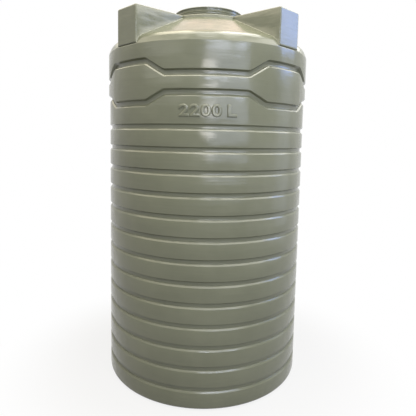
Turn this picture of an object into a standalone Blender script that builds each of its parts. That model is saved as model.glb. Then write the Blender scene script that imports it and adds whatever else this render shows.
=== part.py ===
"""Round rotomoulded water tank with a screw lid, a plugged outlet and an overflow.

Metres, +Z up. The origin is on the tank's axis, in the plane that it stands on.
The front, where the capacity mark goes, faces -Y, and the two connectors are at
the rear, on +Y. Azimuth is counted from the front towards +X.
"""
import math

import bmesh
import bpy
from mathutils import Matrix, Vector

# Shell: body and base
BODY_RADIUS = 0.610
HEAD_STEP = 0.007
WALL = 0.006
BASE_FILLET = 0.025
BASE_FILLET_STEPS = 2

# Shell: rib grooves round the body
GROOVE_COUNT = 13
GROOVE_PITCH = 0.1175
GROOVE_HEIGHT = 0.0348
GROOVE_DEPTH = 0.011
GROOVE_SIDE = 0.009
BOTTOM_BAND = 0.0955

# Shell: the two zigzag grooves, which change height at each lug
ZIGZAG_HEIGHT = 0.039
CAPACITY_BAND = 0.0862
LOWER_STEP = 0.052
BELT_HEIGHT = 0.098
UPPER_STEP = 0.064
NARROW_END = math.radians(21.0)
WIDE_START = math.radians(31.3)

# Shell: head, roof, deck and lugs
HEAD_BAND = 0.0755
SHOULDER_RISE = 0.045
SHOULDER_RUN = 0.017
ROOF_SLOPE = math.radians(26.8)
DECK_RADIUS = 0.299
DECK_RISE = 0.018
LUG_COUNT = 4
LUG_WIDTH = 0.170
LUG_STEP = 0.006
LUG_FOOT = 0.007
LUG_SLOPE = math.radians(1.6)
LUG_BELOW_DECK = 0.001
LUG_EDGE = 0.007

# Neck
NECK_RADIUS = 0.196
NECK_HEIGHT = 0.0485
COLLAR_REACH = 0.013
COLLAR_HEIGHT = 0.0285

# Clearances between pieces
SEAT_GAP = 0.0003
HOLE_CLEARANCE = 0.0006
LID_CLEARANCE = 0.0025
LID_ABOVE_COLLAR = 0.002

# Lid and its seal
SEAL_THICKNESS = 0.004
LID_SKIRT_WALL = 0.009
LID_PANEL = 0.006
LID_FLANGE_REACH = 0.0055
LID_FLANGE_THICKNESS = 0.0065
LID_RIM_HEIGHT = 0.0129
LID_RIM_WIDTH = 0.018
LID_EDGE = 0.0015
LID_BEAD = 0.0025
LID_BOSS_RADIUS = 0.045
LID_RIB_COUNT = 8
LID_RIB_WIDTH = 0.010

# Tank connectors
PORT_PAD_RISE = 0.002
PORT_PAD_MARGIN = 0.010
TAIL_RADIUS = 0.0297
TAIL_BORE = 0.022
TAIL_LENGTH = 0.052
FLANGE_RADIUS = 0.045
FLANGE_THICKNESS = 0.008
WASHER_THICKNESS = 0.003
WASHER_MARGIN = 0.003
NUT_SETBACK = 0.005
NUT_SIDES = 8
NUT_THICKNESS = 0.014

# Overflow pipe end
PIPE_RADIUS = 0.027
PIPE_LENGTH = 0.048
PIPE_BEAD = 0.0015

# Outlet socket and its plug
SOCKET_RADIUS = 0.032
SOCKET_LENGTH = 0.015
SOCKET_BORE = 0.0245
SOCKET_DEPTH = 0.017
PLUG_STEM_LENGTH = 0.014
PLUG_SEAL_THICKNESS = 0.002
PLUG_SEAL_MARGIN = 0.001
PLUG_FLANGE_THICKNESS = 0.004
PLUG_HEX_ACROSS_FLATS = 0.046
PLUG_HEX_HEIGHT = 0.012

# Facets of turned pieces
TURNED_STEPS = 36
PORT_STEPS = 16

# Radii and heights that follow from the sizes above
HEAD_RADIUS = BODY_RADIUS + HEAD_STEP
COLLAR_RADIUS = NECK_RADIUS + COLLAR_REACH
RIBS_TOP = BOTTOM_BAND + (GROOVE_COUNT - 1) * GROOVE_PITCH + GROOVE_HEIGHT
LOWER_WIDE_Z = RIBS_TOP + CAPACITY_BAND + ZIGZAG_HEIGHT / 2
LOWER_NARROW_Z = LOWER_WIDE_Z + LOWER_STEP
UPPER_NARROW_Z = LOWER_NARROW_Z + BELT_HEIGHT
UPPER_WIDE_Z = UPPER_NARROW_Z + UPPER_STEP
SHOULDER_Z = UPPER_WIDE_Z + ZIGZAG_HEIGHT / 2 + HEAD_BAND
CREASE_RADIUS = HEAD_RADIUS - SHOULDER_RUN
CREASE_Z = SHOULDER_Z + SHOULDER_RISE
ROOF_TOP_Z = CREASE_Z + (CREASE_RADIUS - DECK_RADIUS) * math.tan(ROOF_SLOPE)
DECK_Z = ROOF_TOP_Z + DECK_RISE
COLLAR_Z = DECK_Z + COLLAR_HEIGHT
NECK_TOP_Z = DECK_Z + NECK_HEIGHT
LID_SEAT_Z = NECK_TOP_Z + SEAL_THICKNESS + 2 * SEAT_GAP

# Lugs: each stands out from a flat of the head, and its foot is just above the shoulder's edge
LUG_AZIMUTH = math.pi / LUG_COUNT
LUG_HALF_ANGLE = math.asin(LUG_WIDTH / 2 / HEAD_RADIUS)
LUG_FLAT = HEAD_RADIUS * math.cos(LUG_HALF_ANGLE)
LUG_FACE = LUG_FLAT + LUG_STEP
LUG_ROOT = (DECK_RADIUS + COLLAR_RADIUS) / 2

# Connectors: distances from the tank's axis along +Y, and heights
PORT_FACE = BODY_RADIUS + PORT_PAD_RISE
PORT_TOOL_START = PORT_FACE - TAIL_LENGTH
PORT_PAD_RADIUS = FLANGE_RADIUS + PORT_PAD_MARGIN
FLANGE_BACK = PORT_FACE + WASHER_THICKNESS + 2 * SEAT_GAP
FLANGE_FRONT = FLANGE_BACK + FLANGE_THICKNESS
OUTLET_Z = BOTTOM_BAND + (GROOVE_HEIGHT + GROOVE_PITCH) / 2
OVERFLOW_Z = (RIBS_TOP + LOWER_NARROW_Z - ZIGZAG_HEIGHT / 2) / 2
OUTWARD = Matrix.Rotation(math.radians(-90.0), 4, "X")

# The lid's skirt runs over the neck
LID_SKIRT_BORE = NECK_RADIUS + LID_CLEARANCE


def clear_scene():
    for item in list(bpy.data.objects):
        bpy.data.objects.remove(item, do_unlink=True)


def plastic(name, colour, roughness):
    """A plain moulded material: its colour is linear RGB."""
    material = bpy.data.materials.new(name)
    material.use_nodes = True
    shader = material.node_tree.nodes["Principled BSDF"]
    shader.inputs["Base Color"].default_value = (*colour, 1.0)
    shader.inputs["Roughness"].default_value = roughness
    shader.inputs["Metallic"].default_value = 0.0
    return material


def add_object(name, bm, material=None, smooth_below=30.0):
    """Turn a bmesh into an object of the scene, with its faces out and its round sides smooth."""
    bmesh.ops.recalc_face_normals(bm, faces=bm.faces)
    mesh = bpy.data.meshes.new(name)
    bm.to_mesh(mesh)
    bm.free()
    if material is not None:
        mesh.materials.append(material)
    mesh.shade_smooth()
    mesh.set_sharp_from_angle(angle=math.radians(smooth_below))
    item = bpy.data.objects.new(name, mesh)
    bpy.context.scene.collection.objects.link(item)
    return item


def as_tool(item):
    """Mark an object as a tool that shapes another and isn't a piece of the tank."""
    item.hide_render = True
    item.display_type = "WIRE"
    return item


def combine(item, tool, operation):
    modifier = item.modifiers.new(tool.name, "BOOLEAN")
    modifier.operation = operation
    modifier.object = tool
    modifier.solver = "EXACT"


def turned(name, outline, steps, material=None):
    """Turn an outline of (radius, height) points about +Z: a solid's starts and ends on the axis."""
    bm = bmesh.new()
    corners = [bm.verts.new((radius, 0.0, height)) for radius, height in outline]
    edges = [bm.edges.new(pair) for pair in zip(corners, corners[1:])]
    if outline[0][0] > 0.0:
        edges.append(bm.edges.new((corners[-1], corners[0])))
    bmesh.ops.spin(bm, geom=corners + edges, cent=(0, 0, 0), axis=(0, 0, 1), dvec=(0, 0, 0),
                   angle=math.tau, steps=steps, use_merge=True)
    bmesh.ops.remove_doubles(bm, verts=bm.verts, dist=1e-6)
    return add_object(name, bm, material)


def prism(name, sides, across_flats, low, high, material=None):
    """A regular prism along +Z with a flat towards +X."""
    bm = bmesh.new()
    circumradius = across_flats / 2 / math.cos(math.pi / sides)
    bmesh.ops.create_circle(bm, cap_ends=True, segments=sides, radius=circumradius,
                            matrix=Matrix.Translation((0, 0, low)))
    top = bmesh.ops.extrude_face_region(bm, geom=list(bm.faces))
    moved = [part for part in top["geom"] if isinstance(part, bmesh.types.BMVert)]
    bmesh.ops.translate(bm, verts=moved, vec=(0, 0, high - low))
    bmesh.ops.rotate(bm, verts=bm.verts, matrix=Matrix.Rotation(math.pi / sides, 3, "Z"))
    return add_object(name, bm, material)


def on_port(item, height):
    """Lay a turned piece on a connector's line: its own +Z then points out at the rear."""
    item.matrix_world = Matrix.Translation((0, 0, height)) @ OUTWARD
    return item


# Shell sections

def quarter_angle(azimuth):
    """Angle from the nearest front, side or rear line: 0 there and 45 degrees at a lug."""
    quarter = math.tau / LUG_COUNT
    return abs((azimuth + quarter / 2) % quarter - quarter / 2)


def zigzag_share(azimuth):
    """0 in the narrow stretches of the belt, 1 in the wide ones under the lugs."""
    share = (quarter_angle(azimuth) - NARROW_END) / (WIDE_START - NARROW_END)
    return min(max(share, 0.0), 1.0)


def head_radius(azimuth):
    """The head is round, with one flat below each lug."""
    off_lug = LUG_AZIMUTH - quarter_angle(azimuth)
    return min(HEAD_RADIUS, LUG_FLAT / math.cos(off_lug))


def groove(below, above, centre, height):
    """Four points of a groove, from its lower edge up, between two wall radii."""
    floor = BODY_RADIUS - GROOVE_DEPTH
    low = centre - height / 2
    high = centre + height / 2
    return [(below, low), (floor, low + GROOVE_SIDE), (floor, high - GROOVE_SIDE), (above, high)]


def shell_section(azimuth):
    """Outer wall from the base's fillet up to the deck, at one azimuth."""
    points = []
    for step in range(BASE_FILLET_STEPS + 1):
        turn = math.pi / 2 * step / BASE_FILLET_STEPS
        points.append((BODY_RADIUS - BASE_FILLET * (1 - math.sin(turn)),
                       BASE_FILLET * (1 - math.cos(turn))))
    for index in range(GROOVE_COUNT):
        centre = BOTTOM_BAND + index * GROOVE_PITCH + GROOVE_HEIGHT / 2
        points += groove(BODY_RADIUS, BODY_RADIUS, centre, GROOVE_HEIGHT)
    share = zigzag_share(azimuth)
    head = head_radius(azimuth)
    lower = LOWER_NARROW_Z + share * (LOWER_WIDE_Z - LOWER_NARROW_Z)
    upper = UPPER_NARROW_Z + share * (UPPER_WIDE_Z - UPPER_NARROW_Z)
    points += groove(BODY_RADIUS, HEAD_RADIUS, lower, ZIGZAG_HEIGHT)
    points += groove(HEAD_RADIUS, head, upper, ZIGZAG_HEIGHT)
    points += [(head, SHOULDER_Z), (CREASE_RADIUS, CREASE_Z),
               (DECK_RADIUS, ROOF_TOP_Z), (DECK_RADIUS, DECK_Z)]
    return points


def outer_section(azimuth):
    neck = [(COLLAR_RADIUS, DECK_Z), (COLLAR_RADIUS, COLLAR_Z),
            (NECK_RADIUS, COLLAR_Z), (NECK_RADIUS, NECK_TOP_Z)]
    return shell_section(azimuth) + neck


def inner_section(azimuth):
    """The outer wall without the collar, moved in by the wall, and open through the neck."""
    plain = shell_section(azimuth) + [(NECK_RADIUS, DECK_Z), (NECK_RADIUS, NECK_TOP_Z + WALL)]
    return inset(plain, WALL)


def inset(points, distance):
    """Move an outline that starts on a flat base in by a distance, square to each side."""
    path = [Vector((0.0, points[0][1]))] + [Vector(point) for point in points]
    path.append(path[-1] + Vector((0.0, 1.0)))
    moved = []
    for before, here, after in zip(path, path[1:], path[2:]):
        first = (here - before).normalized()
        second = (after - here).normalized()
        middle = (Vector((-first.y, first.x)) + Vector((-second.y, second.x))).normalized()
        reach = distance / middle.dot(Vector((-first.y, first.x)))
        moved.append(tuple(here + middle * reach))
    return moved


def shell_azimuths():
    """Lines of the mesh: one at each change of section, and enough between them."""
    half = [0.0, NARROW_END / 2, NARROW_END, WIDE_START, LUG_AZIMUTH - LUG_HALF_ANGLE]
    quarter = half + [LUG_AZIMUTH] + [2 * LUG_AZIMUTH - angle for angle in reversed(half[1:])]
    return [turn * math.tau / LUG_COUNT + angle for turn in range(LUG_COUNT) for angle in quarter]


def lofted(name, section, material=None):
    """Join the sections at all azimuths into one closed body."""
    bm = bmesh.new()
    columns = []
    for azimuth in shell_azimuths():
        direction = Vector((math.sin(azimuth), -math.cos(azimuth), 0.0))
        columns.append([bm.verts.new(direction * radius + Vector((0.0, 0.0, height)))
                        for radius, height in section(azimuth)])
    for left, right in zip(columns, columns[1:] + columns[:1]):
        for row in range(len(left) - 1):
            bm.faces.new((left[row], right[row], right[row + 1], left[row + 1]))
    bm.faces.new([column[0] for column in columns])
    bm.faces.new([column[-1] for column in columns])
    return add_object(name, bm, material)


# Tools that shape the shell

def lug_blocks(name, inset_by=0.0, edge=0.0):
    """Four blocks from the wall in to the deck, with tops that fall outwards a little."""
    bm = bmesh.new()
    outer = LUG_FACE - inset_by
    half_width = LUG_WIDTH / 2 - inset_by
    foot = SHOULDER_Z + LUG_FOOT + inset_by
    inner_top = DECK_Z - LUG_BELOW_DECK - inset_by
    outer_top = inner_top - (outer - LUG_ROOT) * math.tan(LUG_SLOPE)
    for index in range(LUG_COUNT):
        azimuth = LUG_AZIMUTH + index * math.tau / LUG_COUNT
        turn = Matrix.Rotation(azimuth - math.pi / 2, 3, "Z")
        block = bmesh.ops.create_cube(bm, size=1.0)["verts"]
        for corner in block:
            is_out = corner.co.x > 0
            top = outer_top if is_out else inner_top
            corner.co = turn @ Vector((outer if is_out else LUG_ROOT,
                                       math.copysign(half_width, corner.co.y),
                                       top if corner.co.z > 0 else foot))
        if edge:
            bm.normal_update()
            lines = dict.fromkeys(line for corner in block for line in corner.link_edges)
            bmesh.ops.bevel(bm, geom=list(lines), offset=edge, segments=1, affect="EDGES")
    return as_tool(add_object(name, bm))


def port_cylinders(name, radius, start, end):
    """A cylinder on each connector's line, between two distances from the tank's axis."""
    bm = bmesh.new()
    for height in (OUTLET_Z, OVERFLOW_Z):
        place = Matrix.Translation((0.0, (start + end) / 2, height)) @ OUTWARD
        bmesh.ops.create_cone(bm, cap_ends=True, segments=PORT_STEPS, radius1=radius,
                              radius2=radius, depth=end - start, matrix=place)
    return as_tool(add_object(name, bm))


def make_shell(material):
    """The one-piece moulding: outer body and lugs, less a hollow that follows them inside."""
    hollow = as_tool(lofted("shell_hollow", inner_section))
    combine(hollow, lug_blocks("lug_hollows", inset_by=WALL), "UNION")
    combine(hollow, port_cylinders("pad_hollows", PORT_PAD_RADIUS - WALL,
                                   PORT_TOOL_START, PORT_FACE - WALL), "UNION")

    shell = lofted("tank_shell", outer_section, material)
    combine(shell, lug_blocks("lug_outsides", edge=LUG_EDGE), "UNION")
    combine(shell, port_cylinders("port_pads", PORT_PAD_RADIUS,
                                  PORT_TOOL_START, PORT_FACE), "UNION")
    combine(shell, hollow, "DIFFERENCE")
    combine(shell, port_cylinders("port_holes", clear_of(TAIL_RADIUS, HOLE_CLEARANCE),
                                  PORT_TOOL_START, PORT_FACE + WALL), "DIFFERENCE")
    return shell


# Lid

def make_lid(material):
    """Screw lid: skirt with a bead, flange, raised rim, dished panel, centre boss and ribs."""
    skirt = LID_SKIRT_BORE + LID_SKIRT_WALL
    skirt_end = COLLAR_Z + LID_ABOVE_COLLAR
    panel_top = LID_SEAT_Z + LID_PANEL
    rim_top = LID_SEAT_Z + LID_RIM_HEIGHT
    flange_low = rim_top - LID_FLANGE_THICKNESS
    flange = skirt + LID_FLANGE_REACH
    rim_inner = flange - LID_RIM_WIDTH
    boss_top = rim_top - LID_EDGE
    bead_low = (skirt_end + flange_low) / 2
    outline = [
        (0.0, LID_SEAT_Z), (LID_SKIRT_BORE, LID_SEAT_Z), (LID_SKIRT_BORE, skirt_end),
        (skirt, skirt_end), (skirt, bead_low), (skirt + LID_BEAD, bead_low + LID_BEAD / 2),
        (skirt + LID_BEAD, bead_low + LID_BEAD * 3 / 2), (skirt, bead_low + LID_BEAD * 2),
        (skirt, flange_low), (flange, flange_low), (flange, rim_top - LID_EDGE),
        (flange - LID_EDGE, rim_top), (rim_inner, rim_top), (rim_inner - LID_EDGE, panel_top),
        (LID_BOSS_RADIUS + LID_EDGE, panel_top), (LID_BOSS_RADIUS, boss_top), (0.0, boss_top),
    ]
    lid = turned("screw_lid", outline, TURNED_STEPS, material)

    bm = bmesh.new()
    length = rim_inner - LID_BOSS_RADIUS
    height = boss_top - panel_top
    for index in range(LID_RIB_COUNT):
        turn = Matrix.Rotation(index * math.tau / LID_RIB_COUNT, 4, "Z")
        middle = Vector((LID_BOSS_RADIUS + length / 2, 0.0, panel_top + height / 2 - LID_EDGE))
        size = Matrix.Diagonal((length + 2 * LID_EDGE, LID_RIB_WIDTH, height, 1.0))
        bmesh.ops.create_cube(bm, size=1.0, matrix=turn @ Matrix.Translation(middle) @ size)
    combine(lid, as_tool(add_object("lid_ribs", bm)), "UNION")
    return lid


def make_lid_seal(material):
    """Flat ring on the neck's rim, inside the lid's skirt."""
    inner = NECK_RADIUS - WALL
    outer = LID_SKIRT_BORE * math.cos(math.pi / TURNED_STEPS) - SEAT_GAP
    return turned("lid_seal", ring(inner, outer, NECK_TOP_Z + SEAT_GAP, SEAL_THICKNESS),
                  TURNED_STEPS, material)


# Connectors

def ring(inner, outer, low, thickness):
    """Outline of a flat ring."""
    return [(inner, low), (outer, low), (outer, low + thickness), (inner, low + thickness)]


def clear_of(radius, clearance):
    """Radius of a faceted hole that a round of the given radius passes with a clearance."""
    return radius / math.cos(math.pi / PORT_STEPS) + clearance


def make_connector(name, height, outer_end, plastic_black, rubber):
    """Flanged body through the wall, with a washer on each side of it and a nut inside."""
    body = [(TAIL_BORE, FLANGE_BACK - TAIL_LENGTH), (TAIL_RADIUS, FLANGE_BACK - TAIL_LENGTH),
            (TAIL_RADIUS, FLANGE_BACK), (FLANGE_RADIUS, FLANGE_BACK),
            (FLANGE_RADIUS, FLANGE_FRONT)] + outer_end
    on_port(turned(name + "_body", body, PORT_STEPS, plastic_black), height)

    hole = clear_of(TAIL_RADIUS, SEAT_GAP)
    washer = FLANGE_RADIUS - WASHER_MARGIN
    outside = ring(hole, washer, PORT_FACE + SEAT_GAP, WASHER_THICKNESS)
    on_port(turned(name + "_outer_washer", outside, PORT_STEPS, rubber), height)
    inner_low = PORT_FACE - WALL - SEAT_GAP - WASHER_THICKNESS
    inside = ring(hole, washer, inner_low, WASHER_THICKNESS)
    on_port(turned(name + "_inner_washer", inside, PORT_STEPS, rubber), height)

    nut_high = inner_low - SEAT_GAP
    nut_low = nut_high - NUT_THICKNESS
    nut_flats = 2 * (FLANGE_RADIUS - NUT_SETBACK)
    nut = on_port(prism(name + "_back_nut", NUT_SIDES, nut_flats, nut_low, nut_high,
                        plastic_black), height)
    core = [(0.0, nut_low - WALL), (hole, nut_low - WALL), (hole, nut_high + WALL),
            (0.0, nut_high + WALL)]
    combine(nut, as_tool(on_port(turned(name + "_nut_bore", core, PORT_STEPS), height)),
            "DIFFERENCE")


def make_outlet(plastic_black, rubber):
    """Low connector with a socket, closed by a plug that screws into it on a seal."""
    socket_end = FLANGE_FRONT + SOCKET_LENGTH
    socket = [(SOCKET_RADIUS, FLANGE_FRONT), (SOCKET_RADIUS, socket_end),
              (SOCKET_BORE, socket_end), (SOCKET_BORE, socket_end - SOCKET_DEPTH),
              (TAIL_BORE, socket_end - SOCKET_DEPTH)]
    make_connector("outlet", OUTLET_Z, socket, plastic_black, rubber)

    stem = SOCKET_BORE * math.cos(math.pi / PORT_STEPS) - SEAT_GAP
    seal_low = socket_end + SEAT_GAP
    seal = ring(clear_of(stem, SEAT_GAP), SOCKET_RADIUS - PLUG_SEAL_MARGIN, seal_low,
                PLUG_SEAL_THICKNESS)
    on_port(turned("outlet_plug_seal", seal, PORT_STEPS, rubber), OUTLET_Z)

    head_low = seal_low + PLUG_SEAL_THICKNESS + SEAT_GAP
    head_high = head_low + PLUG_FLANGE_THICKNESS
    outline = [(0.0, head_low - PLUG_STEM_LENGTH), (stem, head_low - PLUG_STEM_LENGTH),
               (stem, head_low), (SOCKET_RADIUS, head_low), (SOCKET_RADIUS, head_high),
               (0.0, head_high)]
    plug = on_port(turned("outlet_plug", outline, PORT_STEPS, plastic_black), OUTLET_Z)
    hexagon = prism("plug_hexagon", 6, PLUG_HEX_ACROSS_FLATS, head_high - PLUG_FLANGE_THICKNESS / 2,
                    head_high + PLUG_HEX_HEIGHT)
    combine(plug, as_tool(on_port(hexagon, OUTLET_Z)), "UNION")


def make_overflow(plastic_black, rubber):
    """High connector whose short beaded pipe end stays open."""
    end = FLANGE_FRONT + PIPE_LENGTH
    bead = PIPE_RADIUS + PIPE_BEAD
    pipe = [(PIPE_RADIUS, FLANGE_FRONT), (PIPE_RADIUS, end - 4 * PIPE_BEAD),
            (bead, end - 3 * PIPE_BEAD), (bead, end - PIPE_BEAD),
            (PIPE_RADIUS, end), (TAIL_BORE, end)]
    make_connector("overflow", OVERFLOW_Z, pipe, plastic_black, rubber)


def build_tank():
    clear_scene()
    polyethylene = plastic("moulded_polyethylene", (0.19, 0.19, 0.145), 0.42)
    polypropylene = plastic("black_polypropylene", (0.018, 0.018, 0.019), 0.45)
    rubber = plastic("black_rubber", (0.012, 0.012, 0.012), 0.8)
    make_shell(polyethylene)
    make_lid(polyethylene)
    make_lid_seal(rubber)
    make_outlet(polypropylene, rubber)
    make_overflow(polypropylene, rubber)


build_tank()
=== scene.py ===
# %% [markdown]
# # A round moulded water tank
# The tank stands as tall as a door frame and is moulded in one piece: a ribbed wall, a belt between
# two zigzag grooves, four square lugs round a sloping roof, and a short neck under a screw lid. This
# script dresses the plain working model of it. The frame gives the bodies that move and the room that
# each piece may fill, and every cell below makes one piece or one finish around that frame.

# %% Load the frame and the tools
import math

import bmesh
import bpy
import numpy as np
from mathutils import Matrix, Vector


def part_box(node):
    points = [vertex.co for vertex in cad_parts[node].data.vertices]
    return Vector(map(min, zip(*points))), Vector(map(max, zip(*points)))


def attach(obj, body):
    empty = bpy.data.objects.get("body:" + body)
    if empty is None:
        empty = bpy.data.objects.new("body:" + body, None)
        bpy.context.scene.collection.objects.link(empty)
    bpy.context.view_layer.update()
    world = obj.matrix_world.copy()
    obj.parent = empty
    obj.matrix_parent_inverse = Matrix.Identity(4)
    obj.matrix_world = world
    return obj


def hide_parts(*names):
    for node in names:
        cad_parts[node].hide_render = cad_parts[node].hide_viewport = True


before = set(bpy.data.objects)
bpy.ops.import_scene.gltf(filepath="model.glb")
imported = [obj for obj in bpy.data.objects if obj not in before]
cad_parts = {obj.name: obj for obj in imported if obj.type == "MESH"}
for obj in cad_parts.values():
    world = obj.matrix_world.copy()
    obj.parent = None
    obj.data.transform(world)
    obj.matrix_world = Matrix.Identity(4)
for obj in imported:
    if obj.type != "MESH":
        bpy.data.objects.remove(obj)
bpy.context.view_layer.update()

# %% [markdown]
# ## Camera
# The camera stands at a person's eye level, 2.7 m from the tank's axis, and looks down a little. The
# lens follows from the focal length in picture points, and a small shift puts the optical axis where
# the picture has it, above the middle. The slight roll is the one of a picture taken by hand.

# %% Camera
def add_object(name, data):
    """Put an object with this data into the scene."""
    item = bpy.data.objects.new(name, data)
    bpy.context.scene.collection.objects.link(item)
    return item


PICTURE = 416
EYE = (0.0165, -2.684, 1.467)
LOOK_DOWN = math.radians(5.66)
HAND_ROLL = math.radians(1.14)
FOCAL_POINTS = 407.8
AXIS_ROW = 179.1
SENSOR = 36.0

camera_data = bpy.data.cameras.new("eye_level")
camera_data.sensor_width = SENSOR
camera_data.lens = FOCAL_POINTS * SENSOR / PICTURE
camera_data.shift_y = (AXIS_ROW - PICTURE / 2) / PICTURE
camera = add_object("eye_level", camera_data)
camera.matrix_world = (Matrix.Translation(EYE)
                       @ Matrix.Rotation(math.pi / 2 - LOOK_DOWN, 4, "X")
                       @ Matrix.Rotation(HAND_ROLL, 4, "Z"))
bpy.context.scene.camera = camera
print("lens in mm:", round(camera_data.lens, 1))

# %% [markdown]
# ## Colours and nodes
# Colours are picked as sRGB hex values, the way a colour picker shows them, and the renderer wants
# linear light, so one function turns them. A second one adds a shader node with its settings and
# links in a line or two, which keeps every material below short enough to read.

# %% Colour and node helpers
def linear(hex_colour):
    """Turn an sRGB colour such as #6f7060 into the linear red, green, blue and alpha of a shader."""
    channels = [int(hex_colour[place:place + 2], 16) / 255 for place in (1, 3, 5)]
    return tuple(value / 12.92 if value <= 0.04045 else ((value + 0.055) / 1.055) ** 2.4
                 for value in channels) + (1.0,)


def add_node(tree, kind, settings=None, links=None):
    """Add a shader node: a setting is an input's value or the node's property, a link is a socket."""
    node = tree.nodes.new("ShaderNode" + kind)
    for name, value in (settings or {}).items():
        if isinstance(name, int) or name in node.inputs:
            node.inputs[name].default_value = value
        else:
            setattr(node, name, value)
    for name, socket in (links or {}).items():
        tree.links.new(socket, node.inputs[name])
    return node


def new_material(name):
    """An empty material: returns it, its tree, the place on the piece and the output node."""
    material = bpy.data.materials.new(name)
    material.use_nodes = True
    tree = material.node_tree
    tree.nodes.clear()
    place = add_node(tree, "TexCoord").outputs["Object"]
    return material, tree, place, add_node(tree, "OutputMaterial")


print("sRGB #808080 is", round(linear("#808080")[0], 3), "in linear light")

# %% [markdown]
# ## Rotomoulded polyethylene
# The tank is linear polyethylene, tumbled as powder in a hot steel mould until it melts and coats the
# wall. That leaves a satin skin: the gloss of the steel, softened, with shallow waves a hand's width
# apart where the wall shrank off the mould, and fine level streaks. The eye sees soft, slightly
# wavering reflections on a grey green body colour that shifts a little from place to place. Noise in
# the piece's own coordinates gives this without the unwrapping and seams of a painted image.

# %% Rotomoulded polyethylene
MM = 0.001
WAVE_MM = 95.0        # shrink waves, a hand's width
STREAK_MM = 26.0      # level streaks: really a few mm, drawn coarser so that they show at this size
STREAK_LENGTH = 9.0   # a streak's length over its height
CLOUD_MM = 300.0      # slow drift of colour

polyethylene, tree, place, output = new_material("rotomoulded_polyethylene")
clouds = add_node(tree, "TexNoise",
                  {"Scale": 1 / (CLOUD_MM * MM), "Detail": 3.0, "Roughness": 0.55}, {"Vector": place})
tint = add_node(tree, "ValToRGB", links={"Fac": clouds.outputs["Fac"]})
for end, position, colour in zip(tint.color_ramp.elements, (0.3, 0.7), ("#5a5c4a", "#626452")):
    end.position = position
    end.color = linear(colour)
waves = add_node(tree, "TexNoise", {"Scale": 1 / (WAVE_MM * MM), "Detail": 1.0}, {"Vector": place})
drawn_out = add_node(tree, "Mapping", {"Scale": (1 / STREAK_LENGTH, 1 / STREAK_LENGTH, 1.0)},
                     {"Vector": place})
streaks = add_node(tree, "TexNoise", {"Scale": 1 / (STREAK_MM * MM), "Detail": 2.0},
                   {"Vector": drawn_out.outputs["Vector"]})
gloss = add_node(tree, "MapRange",
                 {"From Min": 0.3, "From Max": 0.7, "To Min": 0.18, "To Max": 0.24},
                 {"Value": waves.outputs["Fac"]})
wave_bump = add_node(tree, "Bump", {"Strength": 1.0, "Distance": 2.5 * MM},
                     {"Height": waves.outputs["Fac"]})
streak_bump = add_node(tree, "Bump", {"Strength": 1.0, "Distance": 1.1 * MM},
                       {"Height": streaks.outputs["Fac"], "Normal": wave_bump.outputs["Normal"]})
skin = add_node(tree, "BsdfPrincipled", {"IOR": 1.51, "Metallic": 0.0},
                {"Base Color": tint.outputs["Color"], "Roughness": gloss.outputs["Result"],
                 "Normal": streak_bump.outputs["Normal"]})
tree.links.new(skin.outputs["BSDF"], output.inputs["Surface"])
print("polyethylene: waves", WAVE_MM, "mm, streaks", STREAK_MM, "mm")

# %% [markdown]
# ## Injection moulded polypropylene
# The two connectors, their back nuts and the plug are glass filled polypropylene, injected into a
# spark eroded mould. The eye sees a dense black with a dry, even grain. It is too fine to model, so one
# noise drives the colour, the gloss and a slight bump together.

# %% Injection moulded polypropylene
GRAIN_MM = 1.2        # spark eroded grain: really 0.1 mm, drawn coarser so that it shows

polypropylene, tree, place, output = new_material("injection_moulded_polypropylene")
grain = add_node(tree, "TexNoise", {"Scale": 1 / (GRAIN_MM * MM), "Detail": 2.0}, {"Vector": place})
tint = add_node(tree, "Mix", {"data_type": "RGBA", "A": linear("#1b1b1c"), "B": linear("#28282a")},
                {"Factor": grain.outputs["Fac"]})
gloss = add_node(tree, "MapRange", {"To Min": 0.38, "To Max": 0.5},
                 {"Value": grain.outputs["Fac"]})
bump = add_node(tree, "Bump", {"Strength": 0.4, "Distance": 0.08 * MM},
                {"Height": grain.outputs["Fac"]})
skin = add_node(tree, "BsdfPrincipled", {"IOR": 1.49, "Metallic": 0.0},
                {"Base Color": tint.outputs["Result"], "Roughness": gloss.outputs["Result"],
                 "Normal": bump.outputs["Normal"]})
tree.links.new(skin.outputs["BSDF"], output.inputs["Surface"])
print("polypropylene: grain", GRAIN_MM, "mm")

# %% [markdown]
# ## Moulded EPDM rubber
# The washers and seals are moulded EPDM. Rubber scatters light in its pores, so it looks flat and
# dusty beside the plastic, with a faint bloom of wax. A sheen could give the dust, but a high
# roughness and patches of a paler colour do it more simply on such small pieces.

# %% Moulded EPDM rubber
BLOOM_MM = 9.0        # patches of wax bloom

rubber, tree, place, output = new_material("moulded_epdm_rubber")
bloom = add_node(tree, "TexNoise", {"Scale": 1 / (BLOOM_MM * MM), "Detail": 4.0}, {"Vector": place})
tint = add_node(tree, "Mix", {"data_type": "RGBA", "A": linear("#191918"), "B": linear("#302f2d")},
                {"Factor": bloom.outputs["Fac"]})
bump = add_node(tree, "Bump", {"Strength": 0.3, "Distance": 0.1 * MM},
                {"Height": bloom.outputs["Fac"]})
skin = add_node(tree, "BsdfPrincipled",
                {"IOR": 1.52, "Metallic": 0.0, "Roughness": 0.8},
                {"Base Color": tint.outputs["Result"], "Normal": bump.outputs["Normal"]})
tree.links.new(skin.outputs["BSDF"], output.inputs["Surface"])
print("rubber: bloom", BLOOM_MM, "mm")

# %% [markdown]
# ## Round corners
# No moulded edge is sharp. A bevel modifier could round the finished mesh, but its rows would differ
# from place to place. Here a profile is a few corner points with a radius each, and this function
# puts a short curve on every corner. It gives the same number of points whatever the shape, so
# profiles taken at different places round the tank can be joined into one skin.

# %% Rounded profiles
SIDE_SHARE = 0.45     # the most that a corner's curve takes of the sides beside it


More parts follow.
